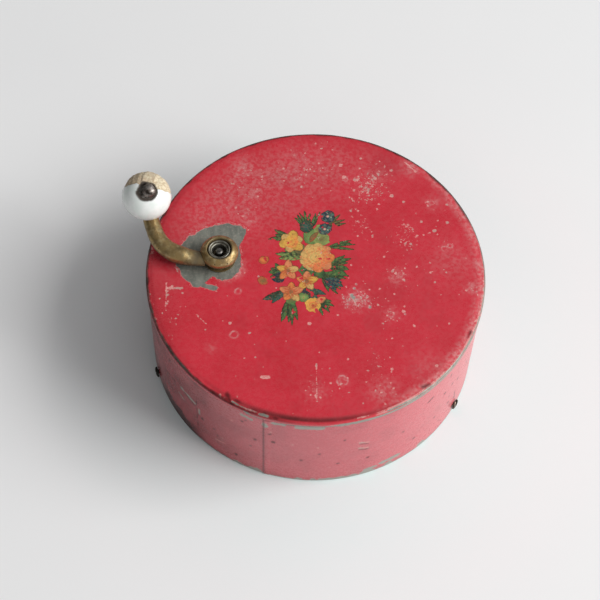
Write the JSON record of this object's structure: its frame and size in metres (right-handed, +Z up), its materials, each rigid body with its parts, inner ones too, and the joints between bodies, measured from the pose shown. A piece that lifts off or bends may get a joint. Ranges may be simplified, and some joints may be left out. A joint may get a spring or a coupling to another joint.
{
  "type": "bobbin box",
  "caption": "Round tinplate bobbin box with a floral lid; an off-centre brass crank with a porcelain knob winds the bobbin inside through gears.",
  "frame": {"origin": "centre of the flat base, on the surface the box stands on", "axes": "+Z up along the drum's axis; the crank stands at -X, and the front of the box faces -Y"},
  "size_m": [0.1171, 0.1104, 0.0702],
  "materials": {
    "painted_tin": "red enamel over tinplate, dull and worn",
    "bare_tin": "dull grey tinplate",
    "brass": "aged brown brass",
    "steel": "darkened steel",
    "porcelain": "white glaze, chipped to beige biscuit",
    "wood": "plain turned beech",
    "thread": "unbleached cotton thread"
  },
  "bodies": {
    "case": {"top_cover": "painted_tin", "side_band": "painted_tin", "base_plate": "bare_tin", "base_screw_1": "steel", "base_screw_2": "steel", "base_screw_3": "steel", "thread_eyelet": "brass", "cover_bush": "brass", "crank_foot_bush": "brass", "spindle_top_bush": "brass", "spindle_foot_bearing": "brass", "gear_bridge": "bare_tin", "bridge_pillar_1": "steel", "bridge_pillar_2": "steel", "bridge_pillar_3": "steel", "pillar_nut_1": "brass", "pillar_nut_2": "brass", "pillar_nut_3": "brass"},
    "crank": {"crank_shaft": "steel", "crank_hub": "brass", "hub_ferrule": "steel", "crank_arm": "brass", "knob_pin": "steel", "knob_washer": "brass", "drive_gear": "brass", "shaft_collar": "steel"},
    "crank_knob": {"knob": "porcelain"},
    "bobbin": {"bobbin_spindle": "steel", "bobbin_gear": "brass", "spindle_collar": "steel", "bobbin_lower_flange": "wood", "bobbin_upper_flange": "wood", "bobbin_core": "wood", "bobbin_washer": "brass", "thread_winding": "thread"}
  },
  "joints": [
    {"name": "crank_turn", "type": "hinge", "parent": "case", "child": "crank", "pos_m": [-0.03124, 0.00406, 0.043], "axis": [0, 0, 1], "continuous": true},
    {"name": "knob_spin", "type": "hinge", "parent": "crank", "child": "crank_knob", "pos_m": [-0.0551, 0.0197, 0.0521], "axis": [0.0797, -0.3685, 0.9262], "continuous": true},
    {"name": "bobbin_spin", "type": "hinge", "parent": "case", "child": "bobbin", "pos_m": [0, 0, 0.017], "axis": [0, 0, 1], "continuous": true}
  ],
  "couplings": [
    {"joint": "bobbin_spin", "follows": "crank_turn", "ratio": -1.5}
  ]
}
